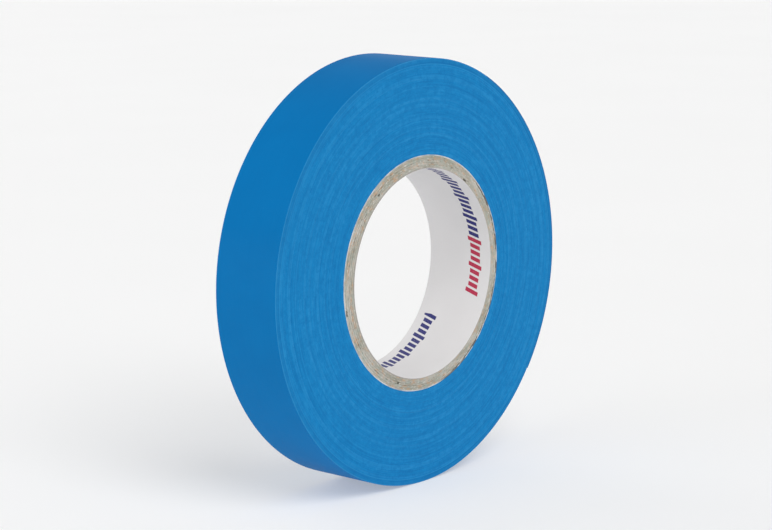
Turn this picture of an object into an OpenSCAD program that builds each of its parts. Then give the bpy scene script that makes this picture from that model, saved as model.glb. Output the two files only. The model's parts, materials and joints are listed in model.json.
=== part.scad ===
// Roll of electrical tape, standing on its rim.
// +Z is up. The roll's axis is along Y and its front face points to -Y.
// The origin is under the middle of the roll, on the surface that it stands on.
// Angles on the roll are counted from +X towards +Z.

/* [Tape] */
// Width of the tape, and so of the whole roll
tape_w = 15; // [12:1:25]
// Length of tape on the roll, in metres
tape_length = 25; // [10:1:33]
// Thickness of the tape, with its adhesive
tape_t = 0.15; // [0.13:0.01:0.2]
// Thickness of the adhesive layer under the film
adhesive_t = 0.03; // [0.02:0.01:0.04]

/* [Core] */
// Outside diameter of the cardboard core
core_d = 46; // [32:1:80]
// Thickness of each greyboard ply
ply_t = 0.44; // [0.3:0.02:0.6]
// Thickness of the printed paper inside the core
liner_t = 0.2; // [0.1:0.05:0.3]
// Thickness of the paper wrap outside the board
wrap_t = 0.2; // [0.1:0.05:0.3]

/* [Loose end] */
// Angle at which the loose end leaves the roll
peel_angle = 60; // [45:1:75]
// Angle that each short length of the loose end covers
length_angle = 4; // [3:0.5:4.5]
// Bare angle between the cut end and the turn below it
cut_gap_angle = 1; // [0.5:0.5:2]

/* [Hidden] */
PLIES = 5;
END_LENGTHS = 24;
$fn = 180;

MM_PER_M = 1000;
// How far a cutting shape reaches past what it cuts
PAST = 1;

TAPE_BLUE = [0.08, 0.42, 0.69];
BOARD_GREY = [0.72, 0.68, 0.60];
WRAP_PALE = [0.84, 0.82, 0.76];
LINER_WHITE = [0.90, 0.90, 0.91];

core_r = core_d / 2;
board_out_r = core_r - wrap_t;
board_in_r = board_out_r - PLIES * ply_t;
bore_r = board_in_r - liner_t;
// The strip's edge area fills the ring between the core and the rim
roll_r = sqrt(core_r ^ 2 + tape_length * MM_PER_M * tape_t / PI);
// Surface of the last turn under the loose end
turn_below_r = roll_r - tape_t;
film_t = tape_t - adhesive_t;
loose_angle = END_LENGTHS * length_angle;

// Places a shape that is drawn around Z on the roll's own axis
module on_roll_axis() {
    translate([0, 0, roll_r])
        rotate([90, 0, 0])
            children();
}

// A full turn of a layer, as wide as the roll
module ring(r_in, r_out) {
    difference() {
        cylinder(h = tape_w, r = r_out, center = true);
        cylinder(h = tape_w + 2 * PAST, r = r_in, center = true);
    }
}

// A part turn of a layer, from one angle over a span
module part_turn(r_in, r_out, from, span, width) {
    rotate_extrude(start = from, angle = span)
        translate([r_in, -width / 2])
            square([r_out - r_in, width]);
}

// White paper on the inside of the core, the face that carries the print
module core_liner() {
    color(LINER_WHITE)
        on_roll_axis()
            ring(bore_r, board_in_r);
}

// One greyboard strip wound into a tube, counted from the inside
module core_ply(n) {
    ply_in_r = board_in_r + (n - 1) * ply_t;
    color(BOARD_GREY)
        on_roll_axis()
            ring(ply_in_r, ply_in_r + ply_t);
}

// Thin pale paper that finishes the outside of the board
module core_wrap() {
    color(WRAP_PALE)
        on_roll_axis()
            ring(board_out_r, core_r);
}

// All turns of the tape that are stuck down, with a shallow bed for the loose end
module wound_tape() {
    bed_from = peel_angle - loose_angle - cut_gap_angle;
    color(TAPE_BLUE)
        on_roll_axis()
            difference() {
                ring(core_r, roll_r);
                part_turn(
                    turn_below_r,
                    roll_r + PAST,
                    bed_from,
                    loose_angle + cut_gap_angle,
                    tape_w + 2 * PAST
                );
            }
}

// One short length of the loose end, counted from where the tape leaves the roll.
// The film lies clear of the turn below by the thickness of its adhesive.
module tape_end(n) {
    color(TAPE_BLUE)
        on_roll_axis()
            part_turn(
                roll_r - film_t,
                roll_r,
                peel_angle - n * length_angle,
                length_angle,
                tape_w
            );
}

core_liner();
for (n = [1:PLIES])
    core_ply(n);
core_wrap();
wound_tape();
for (n = [1:END_LENGTHS])
    tape_end(n);
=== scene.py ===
import json
import math
import random

import bpy
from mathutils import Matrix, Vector


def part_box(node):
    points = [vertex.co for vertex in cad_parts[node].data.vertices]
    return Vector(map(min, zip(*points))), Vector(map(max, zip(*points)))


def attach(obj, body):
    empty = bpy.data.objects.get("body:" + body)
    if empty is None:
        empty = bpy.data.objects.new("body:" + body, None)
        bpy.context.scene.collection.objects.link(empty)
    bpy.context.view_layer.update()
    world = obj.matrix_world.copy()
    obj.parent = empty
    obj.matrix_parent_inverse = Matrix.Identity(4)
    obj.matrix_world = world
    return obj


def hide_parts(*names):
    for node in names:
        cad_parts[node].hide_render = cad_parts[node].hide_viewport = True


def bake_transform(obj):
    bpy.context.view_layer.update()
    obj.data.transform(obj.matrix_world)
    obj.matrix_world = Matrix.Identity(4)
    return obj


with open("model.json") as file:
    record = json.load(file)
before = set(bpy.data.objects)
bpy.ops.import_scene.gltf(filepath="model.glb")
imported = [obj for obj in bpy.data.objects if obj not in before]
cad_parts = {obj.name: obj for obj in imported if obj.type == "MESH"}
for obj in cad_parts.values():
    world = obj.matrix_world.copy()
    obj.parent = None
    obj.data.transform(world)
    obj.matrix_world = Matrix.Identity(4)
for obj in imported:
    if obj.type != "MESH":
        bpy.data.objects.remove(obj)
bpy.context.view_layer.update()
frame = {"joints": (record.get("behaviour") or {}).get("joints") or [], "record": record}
scene = bpy.context.scene


# Liner of the core
# White coated paper, wound first on the mandrel with its printed side inwards, so that it lines the bore.
# The core was cut with a blade from behind, which left its inner edge a little proud of the tape.

MM = 0.001
core_bore = next(m for m in frame["record"]["mounts"] if m["name"] == "core_bore")
centre = Vector(core_bore["pos_m"])
roll_r = centre.z
bore_r = core_bore["dims"]["r_mm"] * MM
roll_w = core_bore["dims"]["length_mm"] * MM
front_y = -roll_w / 2
back_y = roll_w / 2

liner_out_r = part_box("core_liner")[1].x
liner_proud = 0.42 * MM
liner_edge = 0.05 * MM
liner_fray = 0.035 * MM
LINER_SIDES = 256
paper_dull = (0.70, 0.69, 0.69)
paper_white = (0.755, 0.745, 0.745)
paper_core_and_edge_shade = (0.25, 0.22, 0.18)
paper_relief = 0.012 * MM
# The cut shows the paper's darker inside, with painted shade along the bore's edge, from the first of these
# depths, and fully from the second.
coating_t = 0.02 * MM
cut_depth = 0.07 * MM

# The print goes three times round. Each run has navy bars and then red ones, and lies in a row of its own.
run_start = math.radians(84)
RUNS = 3
run_span = math.tau / RUNS
navy_length = 26.4 * MM
print_length = 38.3 * MM
row_1 = 3.4 * MM
row_2 = 11.6 * MM
row_3 = 7.4 * MM
bar_pitch = 1.3 * MM
bar_lean = 0.28
bar_share = 0.64
bar_half_height = 1.2 * MM
tall_bar_extra = 0.45 * MM
TALL_EVERY = 4
navy_ink = (0.028, 0.03, 0.17)
red_ink = (0.46, 0.03, 0.075)


def radius_of(point):
    """How far a point is from the roll's axis."""
    return math.hypot(point.x, point.z - centre.z)


def turn_of(point):
    """Where a point is round the roll, in degrees from +X towards +Z."""
    return math.degrees(math.atan2(point.z - centre.z, point.x)) % 360


def choose(piece, kind, wanted):
    """Leaves a piece in edit mode with only the wanted vertices, edges or faces selected."""
    bpy.context.view_layer.objects.active = piece
    bpy.ops.object.mode_set(mode="EDIT")
    bpy.ops.mesh.select_mode(type=kind)
    bpy.ops.mesh.select_all(action="DESELECT")
    bpy.ops.object.mode_set(mode="OBJECT")
    mesh = piece.data
    for part in {"VERT": mesh.vertices, "EDGE": mesh.edges, "FACE": mesh.polygons}[kind]:
        part.select = wanted(part)
    bpy.ops.object.mode_set(mode="EDIT")


def apply_modifier(piece, kind, **settings):
    """Adds a modifier to a piece and applies it."""
    bpy.context.view_layer.objects.active = piece
    modifier = piece.modifiers.new("step", kind)
    for name, value in settings.items():
        setattr(modifier, name, value)
    bpy.ops.object.modifier_apply(modifier=modifier.name)


def add_round_bar(name, radius, front, back, sides, ends):
    """Adds a cylinder about the roll's axis, between two places along it."""
    bpy.ops.object.select_all(action="DESELECT")
    bpy.ops.mesh.primitive_cylinder_add(
        vertices=sides,
        radius=radius,
        depth=back - front,
        end_fill_type=ends,
        location=(0, (front + back) / 2, centre.z),
        rotation=(math.pi / 2, 0, 0),
    )
    piece = bpy.context.object
    piece.name = piece.data.name = name
    bpy.ops.object.transform_apply()
    return piece


def shade(piece, degrees):
    """Shades a piece smooth, apart from edges sharper than an angle."""
    bpy.ops.object.select_all(action="DESELECT")
    piece.select_set(True)
    bpy.context.view_layer.objects.active = piece
    bpy.ops.object.shade_smooth_by_angle(angle=math.radians(degrees))


class Value:
    """A socket in a finish. Python's operators on it add Math nodes."""

    def __init__(self, finish, socket):
        self.finish = finish
        self.socket = socket

    def __add__(self, other):
        return self.finish.math("ADD", self, other)

    def __sub__(self, other):
        return self.finish.math("SUBTRACT", self, other)

    def __rsub__(self, other):
        return self.finish.math("SUBTRACT", other, self)

    def __mul__(self, other):
        return self.finish.math("MULTIPLY", self, other)

    def __truediv__(self, other):
        return self.finish.math("DIVIDE", self, other)

    def __pow__(self, other):
        return self.finish.math("POWER", self, other)

    def __mod__(self, other):
        return self.finish.math("FLOORED_MODULO", self, other)

    def __lt__(self, other):
        return self.finish.math("LESS_THAN", self, other)

    def __abs__(self):
        return self.finish.math("ABSOLUTE", self)

    __radd__ = __add__
    __rmul__ = __mul__


class Finish:
    """A material that works out its look from where a point is on the roll."""

    def __init__(self, name, **steady):
        self.material = bpy.data.materials.new(name)
        self.material.use_nodes = True
        self.tree = self.material.node_tree
        self.shader = self.tree.nodes["Principled BSDF"]
        self.fill(self.shader, {name.replace("_", " "): value for name, value in steady.items()})
        spot = self.node("TexCoord", {}, {})["Object"]
        self.place = self.node("Mapping", {}, {"Vector": spot, "Location": -centre})["Vector"]
        split = self.node("SeparateXYZ", {}, {"Vector": self.place})
        self.x, self.y, self.z = split["X"], split["Y"], split["Z"]

    def fill(self, node, sockets):
        """Gives a node's sockets their values or links."""
        for name, value in sockets.items():
            if isinstance(value, Value):
                self.tree.links.new(value.socket, node.inputs[name])
            else:
                node.inputs[name].default_value = value

    def node(self, kind, settings, sockets):
        """Adds a node with its settings and sockets, and returns its outputs by name."""
        node = self.tree.nodes.new("ShaderNode" + kind)
        for name, value in settings.items():
            setattr(node, name, value)
        self.fill(node, sockets)
        return {socket.name: Value(self, socket) for socket in node.outputs if socket.enabled}

    def math(self, operation, *values):
        """Works out a value from others with one Math node."""
        return self.node("Math", {"operation": operation}, dict(enumerate(values)))["Value"]

    def radius(self):
        """Distance from the roll's axis."""
        return (self.x * self.x + self.z * self.z) ** 0.5

    def angle(self):
        """Turn round the axis from +X towards +Z, in radians from -pi to pi."""
        return self.math("ARCTAN2", self.z, self.x)

    def arc(self, first, last, soft):
        """A soft mask between two angles, in degrees."""
        angle = self.angle() * (180 / math.pi)
        return self.spread(angle, first - soft, first) * self.spread(angle, last + soft, last)

    def band(self, middle, half_width, soft):
        """A soft mask round one radius."""
        return self.spread(abs(self.radius() - middle), half_width + soft, half_width)

    def fibres(self, size, stretch, detail=2.0, roughness=0.5):
        """Noise from 0 to 1 whose marks run round the axis, longer than they are wide.

        Their length is true half way between the axis and the rim.
        """
        along = self.angle() * (roll_r / 2 / stretch)
        bent = self.node("CombineXYZ", {}, {"X": self.radius(), "Y": self.y, "Z": along})["Vector"]
        sockets = {"Vector": bent, "Scale": 1 / size, "Detail": detail, "Roughness": roughness}
        return self.node("TexNoise", {}, sockets)["Fac"]

    def grain(self, size, detail=2.0, roughness=0.5):
        """Even noise from 0 to 1, with marks of about a given size."""
        sockets = {"Vector": self.place, "Scale": 1 / size, "Detail": detail, "Roughness": roughness}
        return self.node("TexNoise", {}, sockets)["Fac"]

    def lines(self, along, size, detail=2.0, roughness=0.5):
        """Noise from 0 to 1 that changes only with one value, in lines of about a given size."""
        sockets = {"W": along, "Scale": 1 / size, "Detail": detail, "Roughness": roughness}
        return self.node("TexNoise", {"noise_dimensions": "1D"}, sockets)["Fac"]

    def spread(self, value, low, high):
        """A soft mask that rises from 0 at one value to 1 at another."""
        sockets = {"Value": value, "From Min": low, "From Max": high}
        return self.node("MapRange", {"interpolation_type": "SMOOTHSTEP"}, sockets)["Result"]

    def mix(self, mask, first, second):
        """A colour between two colours, given each as red, green and blue or as a link."""
        colours = [c if isinstance(c, Value) else (*c, 1) for c in (first, second)]
        sockets = {"Factor": mask, 6: colours[0], 7: colours[1]}
        return self.node("Mix", {"data_type": "RGBA"}, sockets)["Result"]

    def relief(self, height, depth):
        """The shading of a surface that is raised where a height is 1."""
        return self.node("Bump", {}, {"Height": height, "Distance": depth})["Normal"]

    def finish(self, **varying):
        """Links what varies over the surface to the shader."""
        self.fill(self.shader, {name.replace("_", " "): value for name, value in varying.items()})


liner = add_round_bar("liner", liner_out_r, front_y - liner_proud, back_y, LINER_SIDES, "NOTHING")
apply_modifier(liner, "SOLIDIFY", thickness=liner_out_r - bore_r, offset=-1)
apply_modifier(liner, "BEVEL", width=liner_edge, segments=2, limit_method="ANGLE")

# Only the front cut face is frayed, so that the bore stays smooth.
face_in_r = bore_r + liner_edge / 2
face_out_r = liner_out_r - liner_edge / 2
choose(liner, "VERT", lambda vert: vert.co.y < front_y and face_in_r < radius_of(vert.co) < face_out_r)
bpy.ops.transform.vertex_random(offset=liner_fray, seed=3)
bpy.ops.object.mode_set(mode="OBJECT")
shade(liner, 40)

paper = Finish("printed liner paper", IOR=1.45, Specular_IOR_Level=0.3)
turned = run_start - paper.angle()
run_number = paper.math("FLOOR", turned / run_span) % RUNS
along_run = (turned % run_span) * bore_r
row = row_1 + (row_2 - row_1) * paper.math("COMPARE", run_number, 1.0, 0.1)
row = row + (row_3 - row_1) * paper.math("COMPARE", run_number, 2.0, 0.1)
from_row = paper.y - front_y - row
leaning = (along_run + from_row * bar_lean) / bar_pitch
bar_number = paper.math("FLOOR", leaning)
tall = bar_number % TALL_EVERY < 0.5
in_bar = leaning % 1.0 < bar_share
in_height = abs(from_row) < tall * tall_bar_extra + bar_half_height
in_run = bar_number < print_length / bar_pitch - 1
ink = in_bar * in_height * in_run
is_navy = bar_number < navy_length / bar_pitch - 0.5
inks = paper.mix(is_navy, red_ink, navy_ink)
fibre = paper.grain(0.35 * MM, 4.0, 0.6)
cloud = paper.grain(6 * MM, 1.0)
sheet = paper.mix(cloud * 0.5 + fibre * 0.5, paper_dull, paper_white)
cut_edge = paper.spread(paper.radius(), bore_r + coating_t, bore_r + cut_depth)
# The cut face is painted with the paper's own darker inside and, darker still, painted shade along the edge
# of the bore.
sheet = paper.mix(cut_edge * (0.4 + fibre * 0.6), sheet, paper_core_and_edge_shade)
worn_ink = ink * paper.spread(fibre, 0.12, 0.4)
paper.finish(
    Base_Color=paper.mix(worn_ink, sheet, inks),
    Roughness=0.5 + fibre * 0.2 - ink * 0.12,
    Normal=paper.relief(fibre, paper_relief),
)
liner.data.materials.append(paper.material)
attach(liner, "roll")
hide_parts("core_liner")


# Greyboard plies of the core
# Five strips of recycled grey board, glued one over the other round the liner. The two edges of each strip
# meet in a butt joint, which shows as a short gap in the cut end. The end is fibrous and steps back outwards.

PLIES = 5
PLY_SIDES = 240
# Where each strip's edges meet, the gap between them and the frayed board beside it, in degrees
ply_joint_at = (54, 128, 250, 318, 192)
joint_gaps = (3, 1.5, 1.5, 1.5, 1.5)
frayed_beside = 0.8
joint_fray = 0.09 * MM
ply_step_back = 0.085 * MM
ply_edge = 0.035 * MM
END_CUTS = 2
fibre_tear = 0.022 * MM
board_relief = 0.03 * MM
# How squarely a face or vertex looks along the axis where it is part of a flat end, and where it is near one
FLAT = 0.99
LEANING = 0.7

# A split in the outermost strip, over part of a turn, painted almost black as the shade inside it
board_out_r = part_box(f"core_ply_{PLIES}")[1].x
split_from = -70
split_to = 40
split_fade = 10
split_r = board_out_r - 0.14 * MM
bleached_r = split_r - 0.25 * MM

board_brown = (0.35, 0.335, 0.275)
board_grey = (0.48, 0.46, 0.41)
rust_pulp = (0.56, 0.34, 0.20)
green_pulp = (0.30, 0.38, 0.34)
white_pulp = (0.66, 0.65, 0.62)
dark_pulp = (0.13, 0.12, 0.10)
split_shade = (0.05, 0.05, 0.045)
bleached_pulp = (0.75, 0.75, 0.74)

board = Finish("cut grey board", IOR=1.4, Specular_IOR_Level=0.15)
fleck = board.fibres(0.3 * MM, 2.5, 2.0, 0.6)
tint = board.fibres(0.7 * MM, 2.0, 3.0, 0.6)
pulp = board.grain(0.2 * MM, 3.0, 0.7)
layers = board.lines(board.radius(), 0.22 * MM, 2.0)
patch = board.fibres(1.6 * MM, 3.0, 2.0)
grey = board.mix(board.spread(patch, 0.3, 0.7), board_brown, board_grey)
grey = board.mix(board.spread(tint, 0.54, 0.64) * 0.55, grey, rust_pulp)
grey = board.mix(board.spread(tint, 0.46, 0.34) * 0.5, grey, green_pulp)
grey = board.mix(board.spread(fleck, 0.56, 0.70) * 0.6, grey, white_pulp)
grey = board.mix(board.spread(fleck * 0.65 + layers * 0.35, 0.45, 0.34) * 0.6, grey, dark_pulp)
split_and_painted_shade = board.arc(split_from, split_to, split_fade) * board.band(split_r, 0.05 * MM, 0.12 * MM)
split_and_painted_shade = split_and_painted_shade * board.spread(board.fibres(1.1 * MM, 2.0, 3.0, 0.6), 0.38, 0.5)
# Painted shade: the split is coloured almost black where only shade falls in the gap.
grey = board.mix(split_and_painted_shade * 0.85, grey, split_shade)
bleached = board.arc(split_from, split_to, split_fade) * board.band(bleached_r, 0.03 * MM, 0.1 * MM)
bleached = bleached * board.spread(board.grain(0.8 * MM, 2.0), 0.5, 0.6)
grey = board.mix(bleached, grey, bleached_pulp)
board.finish(
    Base_Color=grey,
    Roughness=0.85 + pulp * 0.12,
    Normal=board.relief(pulp + fleck - split_and_painted_shade, board_relief),
)

for number in range(1, PLIES + 1):
    out_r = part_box(f"core_ply_{number}")[1].x
    in_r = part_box(f"core_ply_{number - 1}")[1].x if number > 1 else liner_out_r
    proud = ply_step_back * (PLIES - number)
    ply = add_round_bar(f"ply_{number}", out_r, front_y - proud, back_y, PLY_SIDES, "NOTHING")
    joint_at = ply_joint_at[number - 1]
    half_gap = joint_gaps[number - 1] / 2
    choose(ply, "FACE", lambda face: abs(turn_of(face.center) - joint_at) < half_gap)
    bpy.ops.mesh.delete(type="FACE")
    bpy.ops.object.mode_set(mode="OBJECT")
    apply_modifier(ply, "SOLIDIFY", thickness=out_r - in_r, offset=-1)
    apply_modifier(ply, "BEVEL", width=ply_edge, segments=2, limit_method="ANGLE")
    choose(ply, "FACE", lambda face: abs(face.normal.y) > FLAT)
    bpy.ops.mesh.subdivide(number_cuts=END_CUTS)
    choose(ply, "VERT", lambda vert: abs(vert.normal.y) > FLAT)
    bpy.ops.transform.vertex_random(offset=fibre_tear, seed=number)
    choose(
        ply,
        "VERT",
        lambda vert: abs(vert.normal.y) > LEANING
        and abs(turn_of(vert.co) - joint_at) < half_gap + frayed_beside,
    )
    bpy.ops.transform.vertex_random(offset=joint_fray, seed=number)
    bpy.ops.object.mode_set(mode="OBJECT")
    shade(ply, 50)
    ply.data.materials.append(board.material)
    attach(ply, "roll")
    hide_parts(f"core_ply_{number}")


# Wrap of the core
# A strip of thin pale paper glued round the board, which the first turn of tape sticks to. On the cut end it
# shows as a fine light line between the board and the tape.

wrap_out_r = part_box("core_wrap")[1].x
wrap_proud = 0.03 * MM
wrap_edge = 0.04 * MM
wrap_fray = 0.03 * MM
wrap_relief = 0.02 * MM
wrap_grey = (0.36, 0.40, 0.42)
wrap_pale = (0.62, 0.63, 0.62)
lifted_shade = (0.06, 0.075, 0.085)

wrap = add_round_bar("wrap", wrap_out_r, front_y - wrap_proud, back_y, PLY_SIDES, "NOTHING")
apply_modifier(wrap, "SOLIDIFY", thickness=wrap_out_r - board_out_r, offset=-1)
apply_modifier(wrap, "BEVEL", width=wrap_edge, segments=2, limit_method="ANGLE")
choose(wrap, "VERT", lambda vert: vert.co.y < front_y + wrap_edge)
bpy.ops.transform.vertex_random(offset=wrap_fray, seed=5)
bpy.ops.object.mode_set(mode="OBJECT")
shade(wrap, 40)

pale = Finish("pale wrap paper", IOR=1.4, Specular_IOR_Level=0.2)
pale_fibre = pale.grain(0.2 * MM, 3.0, 0.6)
pale_patch = pale.fibres(0.7 * MM, 3.0, 3.0, 0.6)
# Painted shade: over the split's arc the wrap is coloured almost black where it lifts from the board.
lifted_wrap_painted_shade = pale.arc(split_from, split_to, 12) * pale.spread(pale.fibres(1.1 * MM, 3.0), 0.42, 0.52)
pale_grey = pale.mix(pale.spread(pale_patch, 0.4, 0.56), wrap_grey, wrap_pale)
pale.finish(
    Base_Color=pale.mix(lifted_wrap_painted_shade * 0.85, pale_grey, lifted_shade),
    Roughness=0.75 + pale_fibre * 0.15,
    Normal=pale.relief(pale_fibre, wrap_relief),
)
wrap.data.materials.append(pale.material)
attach(wrap, "roll")
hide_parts("core_wrap")


# Wound tape
# Some 120 turns of soft blue PVC film with its adhesive. The roll was cut from a long log on a lathe, so both
# faces show fine rings, and some groups of turns lie a few hundredths of a millimetre lower than others.

ROLL_SIDES = 360
tape_t = 0.15 * MM
core_r = wrap_out_r
corner = 0.07 * MM
corner_ring = 0.25 * MM
joints = frame["joints"]
peel_at = turn_of(Vector(joints[0]["pos_m"]))
length_angle = peel_at - turn_of(Vector(joints[1]["pos_m"]))
half_length = length_angle / 2
bed_start = peel_at + half_length
cut_end = peel_at - length_angle * len(joints)
ramp_foot = cut_end - 1
RAMP_DEGREES = 38
# The bed's first row of vertices is a degree in, and is turned back most of the way to make a steep step.
FIRST_ROW = 1
step_turn = 0.97
group_min = 0.25 * MM
group_max = 0.95 * MM
groove = 0.04 * MM
relief_max = 0.045 * MM
tilt_max = 0.008 * MM
last_group_min = 0.2 * MM
at_core = 0.02 * MM

tape_blue_low = (0.003, 0.165, 0.425)
tape_blue_high = (0.007, 0.215, 0.505)
sunk_blue = (0.003, 0.13, 0.355)
raised_blue = (0.024, 0.255, 0.55)
margin_blue = (0.003, 0.13, 0.36)
line_blue = (0.035, 0.27, 0.55)
speck_blue = (0.04, 0.285, 0.57)
margin_r = roll_r - 1.15 * MM
edge_relief = 0.02 * MM

film_blue_low = (0.001, 0.140, 0.390)
film_blue_high = (0.0018, 0.180, 0.475)
dust_blue = (0.03, 0.26, 0.56)
film_relief = 0.08 * MM

tape = add_round_bar("wound_turns", roll_r, front_y, back_y, ROLL_SIDES, "NGON")
choose(tape, "FACE", lambda face: abs(face.normal.y) > FLAT)
bpy.ops.mesh.bevel(offset=corner, segments=2, affect="EDGES")
choose(tape, "FACE", lambda face: abs(face.normal.y) > FLAT)
bpy.ops.mesh.inset(thickness=corner_ring, depth=0)

# The rim comes down by one thickness of tape before the cut end, and stays down as a bed for the loose end.
bed_scale = (roll_r - tape_t) / roll_r
on_rim = roll_r - corner * 1.5


def sink_rim(first, last, scale):
    """Draws the rim in towards the axis from one angle up to another, at which it stays as it is."""
    choose(
        tape,
        "VERT",
        lambda vert: radius_of(vert.co) > on_rim - tape_t
        and (turn_of(vert.co) - first) % 360 < last - first - 0.01,
    )
    bpy.ops.transform.resize(value=(scale, 1, scale), center_override=centre)
    bpy.ops.object.mode_set(mode="OBJECT")


ramp_scale = bed_scale ** (1 / RAMP_DEGREES)
for degree in range(RAMP_DEGREES):
    sink_rim(ramp_foot - degree - 0.5, bed_start, ramp_scale)

choose(
    tape,
    "VERT",
    lambda vert: radius_of(vert.co) > on_rim - tape_t
    and abs(turn_of(vert.co) - (bed_start - FIRST_ROW)) < 0.2,
)
bpy.ops.transform.rotate(value=math.radians(step_turn), orient_axis="Y", center_override=centre)
bpy.ops.object.mode_set(mode="OBJECT")

# Rings are cut into the two flat faces from the rim inwards. What is left in the middle of each is taken out
# and the two holes are bridged, which makes the bore that the core fills.
choose(tape, "FACE", lambda face: abs(face.normal.y) > FLAT and face.area > math.pi * core_r**2)
rings = random.Random(7)
reached = roll_r - corner - corner_ring
height = 0
while reached - core_r > group_max + last_group_min:
    group = rings.uniform(group_min, group_max)
    target = -rings.uniform(0, relief_max)
    tilt = rings.uniform(-tilt_max, tilt_max)
    bpy.ops.mesh.inset(thickness=groove, depth=target - height)
    bpy.ops.mesh.inset(thickness=group, depth=tilt)
    height = target + tilt
    reached -= groove + group
bpy.ops.mesh.inset(thickness=reached - core_r, depth=-height)
bpy.ops.mesh.delete(type="ONLY_FACE")
bpy.ops.object.mode_set(mode="OBJECT")
choose(
    tape,
    "EDGE",
    lambda edge: all(radius_of(tape.data.vertices[v].co) < core_r + at_core for v in edge.vertices),
)
bpy.ops.mesh.bridge_edge_loops()
bpy.ops.object.mode_set(mode="OBJECT")

edges = Finish("cut edges of the tape", IOR=1.45, Specular_IOR_Level=0.08)
radius = edges.radius()
turns = edges.lines(radius, 0.3 * MM, 1.0)
bands = edges.fibres(0.55 * MM, 8.0, 2.0, 0.6)
scuffs = edges.grain(1.3 * MM, 4.0, 0.7)
mottle = edges.grain(0.45 * MM, 2.0, 0.6)
specks = edges.spread(edges.grain(0.5 * MM, 3.0, 0.6), 0.64, 0.74)
raised = edges.spread(bands, 0.54, 0.68) * edges.spread(scuffs, 0.4, 0.6)
sunk = edges.spread(bands, 0.46, 0.34)
outer_line = edges.spread(radius, roll_r - 0.26 * MM, roll_r - 0.14 * MM)
broken = edges.spread(scuffs, 0.35, 0.6) * 0.7 + 0.3
ridges = edges.spread(edges.lines(radius, 1.1 * MM, 1.0), 0.5, 0.66) * broken
margin = edges.spread(radius, margin_r, margin_r + 0.1 * MM)
margin_line = edges.band(margin_r, 0.03 * MM, 0.1 * MM)
tone = turns * 0.2 + bands * 0.15 + scuffs * 0.4 + mottle * 0.25
blue = edges.mix(edges.spread(tone, 0.33, 0.67), tape_blue_low, tape_blue_high)
blue = edges.mix(sunk * 0.22, blue, sunk_blue)
blue = edges.mix(raised * 0.35, blue, raised_blue)
blue = edges.mix(ridges * 0.28, blue, raised_blue)
blue = edges.mix(margin * 0.3, blue, margin_blue)
blue = edges.mix(margin_line * 0.35, blue, line_blue)
blue = edges.mix(specks * 0.45, blue, speck_blue)
blue = edges.mix(outer_line * 0.5, blue, line_blue)
edges.finish(
    Base_Color=blue,
    Roughness=0.42 + turns * 0.1 + scuffs * 0.15,
    Normal=edges.relief(turns * 0.6 + bands + scuffs * 0.6, edge_relief),
)

film = Finish(
    "satin PVC film",
    Specular_IOR_Level=0,
    Coat_Weight=0.14,
    Coat_Roughness=0.16,
    Coat_IOR=1.5,
)
streaks = film.lines(film.y, 0.5 * MM, 3.0, 0.6)
orange_peel = film.grain(0.5 * MM, 2.0)
film_patch = film.grain(9 * MM, 2.0)
slack = film.fibres(9 * MM, 0.3, 2.0)
dust = film.spread(film.grain(0.35 * MM, 2.0, 0.6), 0.70, 0.78)
film_tone = film_patch * 0.4 + streaks * 0.3 + slack * 0.3
film.finish(
    Base_Color=film.mix(dust * 0.25, film.mix(film_tone, film_blue_low, film_blue_high), dust_blue),
    Roughness=0.4 + streaks * 0.1 + film_patch * 0.1,
    Normal=film.relief(orange_peel * 0.12 + streaks * 0.1 + slack, film_relief),
)

tape.data.materials.append(edges.material)
tape.data.materials.append(film.material)
choose(tape, "FACE", lambda face: abs(face.normal.y) < 0.5 and radius_of(face.center) > core_r + MM)
tape.active_material_index = 1
bpy.ops.object.material_slot_assign()
bpy.ops.object.mode_set(mode="OBJECT")
shade(tape, 1.6)
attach(tape, "roll")
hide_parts("wound_tape")


# Loose end of the tape
# The last 69 mm of the same strip, cut off straight across, which lies on the turn below until it is peeled.
# It is made in lengths, each centred on one hinge, and they meet half way between the hinges.

film_t = 0.12 * MM
film_edge = 0.03 * MM
BEND_STEPS = 24
adhesive_dark = (0.003, 0.08, 0.24)
adhesive_light = (0.006, 0.12, 0.33)
adhesive_relief = 0.01 * MM

adhesive = Finish("rubber adhesive under the film", IOR=1.5, Specular_IOR_Level=0.35)
tack = adhesive.grain(0.9 * MM, 3.0, 0.6)
legs = adhesive.lines(adhesive.y, 0.5 * MM, 2.0)
adhesive.finish(
    Base_Color=adhesive.mix(adhesive.spread(tack, 0.3, 0.7), adhesive_dark, adhesive_light),
    Roughness=0.3 + tack * 0.25,
    Normal=adhesive.relief(tack + legs * 0.3, adhesive_relief),
)


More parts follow.
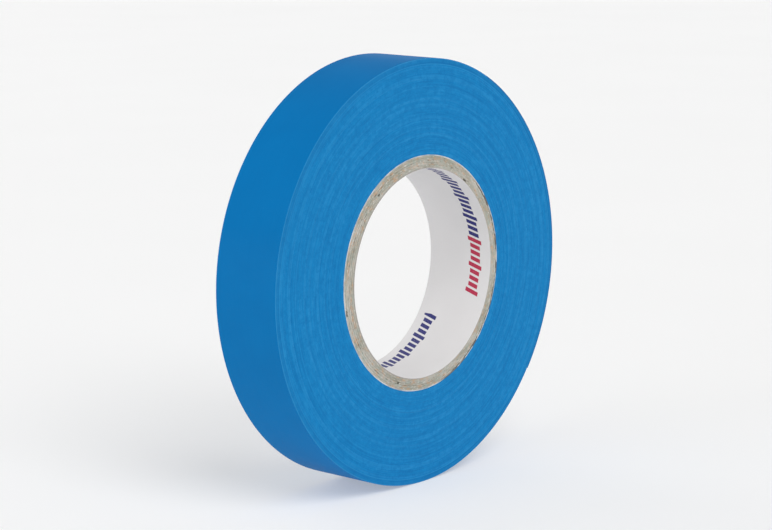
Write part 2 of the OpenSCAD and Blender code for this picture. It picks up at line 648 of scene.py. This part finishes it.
def film_length(name, span, steps):
    """A short length of film along the rim, whose middle is on +X."""
    section = (roll_r - film_t / 2, 0, centre.z)
    bpy.ops.object.select_all(action="DESELECT")
    bpy.ops.mesh.primitive_plane_add(size=1, location=section)
    piece = bpy.context.object
    piece.name = piece.data.name = name
    bpy.ops.object.mode_set(mode="EDIT")
    bpy.ops.transform.resize(value=(film_t, roll_w, 1), center_override=section)
    bpy.ops.mesh.bevel(offset=film_edge, segments=2, affect="VERTICES")
    bpy.ops.transform.rotate(value=-math.radians(span / 2), orient_axis="Y", center_override=centre)
    bpy.ops.mesh.spin(steps=steps, angle=math.radians(span), center=centre, axis=(0, 1, 0))
    bpy.ops.mesh.select_all(action="SELECT")
    bpy.ops.mesh.normals_make_consistent(inside=False)
    bpy.ops.object.mode_set(mode="OBJECT")
    bpy.ops.object.transform_apply()
    for finish in (film, adhesive, edges):
        piece.data.materials.append(finish.material)
    for index, wanted in (
        (1, lambda face: abs(face.normal.y) < 0.5 and radius_of(face.center) < roll_r - film_t * 0.8),
        (2, lambda face: abs(face.normal.y) > 0.5),
    ):
        choose(piece, "FACE", wanted)
        piece.active_material_index = index
        bpy.ops.object.material_slot_assign()
        bpy.ops.object.mode_set(mode="OBJECT")
    shade(piece, 30)
    return piece


def turn_to(piece, angle):
    """Turns a piece round the roll's axis by an angle."""
    choose(piece, "VERT", lambda vert: True)
    bpy.ops.transform.rotate(value=math.radians(angle), orient_axis="Y", center_override=centre)
    bpy.ops.object.mode_set(mode="OBJECT")


def rim_point(angle):
    """A point on the rim, in the middle of its width."""
    turn = math.radians(angle)
    return centre + Vector((roll_r * math.cos(turn), 0, roll_r * math.sin(turn)))


length = film_length("loose_1", length_angle, BEND_STEPS)
turn_to(length, peel_at)
tape_lengths = [length]
for number in range(2, len(joints) + 1):
    length = length.copy()
    length.data = length.data.copy()
    length.name = length.data.name = f"loose_{number}"
    scene.collection.objects.link(length)
    turn_to(length, -length_angle)
    tape_lengths.append(length)

for number, (length, joint) in enumerate(zip(tape_lengths, joints), 1):
    hinge_at = peel_at - length_angle * (number - 1)
    rim_point(hinge_at + half_length)
    rim_point(hinge_at - half_length)
    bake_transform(length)
    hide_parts(f"tape_end_{number}")

cut_length = film_length("loose_cut_end", half_length, BEND_STEPS // 2)
turn_to(cut_length, cut_end + half_length / 2)
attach(cut_length, joints[-1]["child"])


# Floor
# A plain pale table top with a matt surface, large enough to run out of sight on every side. It glows a
# little, as painted light: this keeps it as bright as the room behind it, lightens the roll's shadow on it
# and lights the roll from below.

FLOOR_SIDES = 128
floor_r = 6
table_grey = (0.62, 0.62, 0.62)
table_pale = (0.64, 0.64, 0.64)
glow_soft = (0.98, 0.98, 0.98)
glow_full = (1.0, 1.0, 1.0)

bpy.ops.object.select_all(action="DESELECT")
bpy.ops.mesh.primitive_circle_add(vertices=FLOOR_SIDES, radius=floor_r, fill_type="NGON")
floor = bpy.context.object
floor.name = floor.data.name = "floor"
# The emission is painted light, which fills in the shadow under the roll.
table = Finish("pale table top", Specular_IOR_Level=0.1, Emission_Strength=0.33)
table.finish(
    Base_Color=table.mix(table.grain(60 * MM, 1.0), table_grey, table_pale),
    Roughness=0.7,
    Emission_Color=table.mix(table.grain(80 * MM, 1.0), glow_soft, glow_full),
)
floor.data.materials.append(table.material)


# Light
# A white room that is as bright as the table top at the horizon and darker overhead. Three very broad soft
# lamps stand a long way off, in front, on the left and behind.

# Brightness of the room at heights from the horizon, 0, to overhead, 1
ROOM_LEVELS = ((0, 0.97), (0.12, 0.9), (0.32, 0.56), (1, 0.34))
LAMP_SPREAD = math.radians(40)

world = bpy.data.worlds.new("white room")
world.use_nodes = True
room = world.node_tree
sky = room.nodes["Background"]
spot = room.nodes.new("ShaderNodeTexCoord")
split = room.nodes.new("ShaderNodeSeparateXYZ")
ramp = room.nodes.new("ShaderNodeValToRGB")
ramp.color_ramp.interpolation = "EASE"
while len(ramp.color_ramp.elements) < len(ROOM_LEVELS):
    ramp.color_ramp.elements.new(0.5)
for stop, (height, level) in zip(ramp.color_ramp.elements, ROOM_LEVELS):
    stop.position = height
    stop.color = (level, level, level, 1)
room.links.new(spot.outputs["Generated"], split.inputs["Vector"])
room.links.new(split.outputs["Z"], ramp.inputs["Fac"])
room.links.new(ramp.outputs["Color"], sky.inputs["Color"])
scene.world = world

for name, direction, strength in (
    ("front lamp", (-0.3, -1, 1.15), 1.54),
    ("left lamp", (-1, 0.15, 0.35), 0.55),
    ("back lamp", (0.2, 1, 0.3), 0.6),
):
    bpy.ops.object.light_add(type="SUN", location=centre + Vector(direction))
    light = bpy.context.object
    light.name = light.data.name = name
    light.data.angle = LAMP_SPREAD
    light.data.energy = strength
    light.rotation_euler = Vector(direction).to_track_quat("Z", "Y").to_euler()


# Camera
# It looks down on the roll a little, from the left of its front, so that the front face and the left of the
# rim show. A long lens keeps the perspective mild.

camera_turn = math.radians(49.22)
camera_rise = math.radians(10.25)
camera_distance = 11.373 * roll_r
aim_left = 1.45 * MM
aim_up = 0.74 * MM
SENSOR_MM = 36
LENS_MM = 112.9

towards_camera = Vector(
    (
        -math.sin(camera_turn) * math.cos(camera_rise),
        -math.cos(camera_turn) * math.cos(camera_rise),
        math.sin(camera_rise),
    )
)
camera_left = Vector((-math.cos(camera_turn), math.sin(camera_turn), 0))
camera_up = camera_left.cross(towards_camera)
bpy.ops.object.camera_add()
camera = bpy.context.object
camera.name = camera.data.name = "camera"
camera.location = centre + towards_camera * camera_distance + camera_left * aim_left + camera_up * aim_up
camera.rotation_euler = (-towards_camera).to_track_quat("-Z", "Y").to_euler()
camera.data.sensor_width = SENSOR_MM
camera.data.lens = LENS_MM
scene.camera = camera
scene.view_settings.view_transform = "Standard"
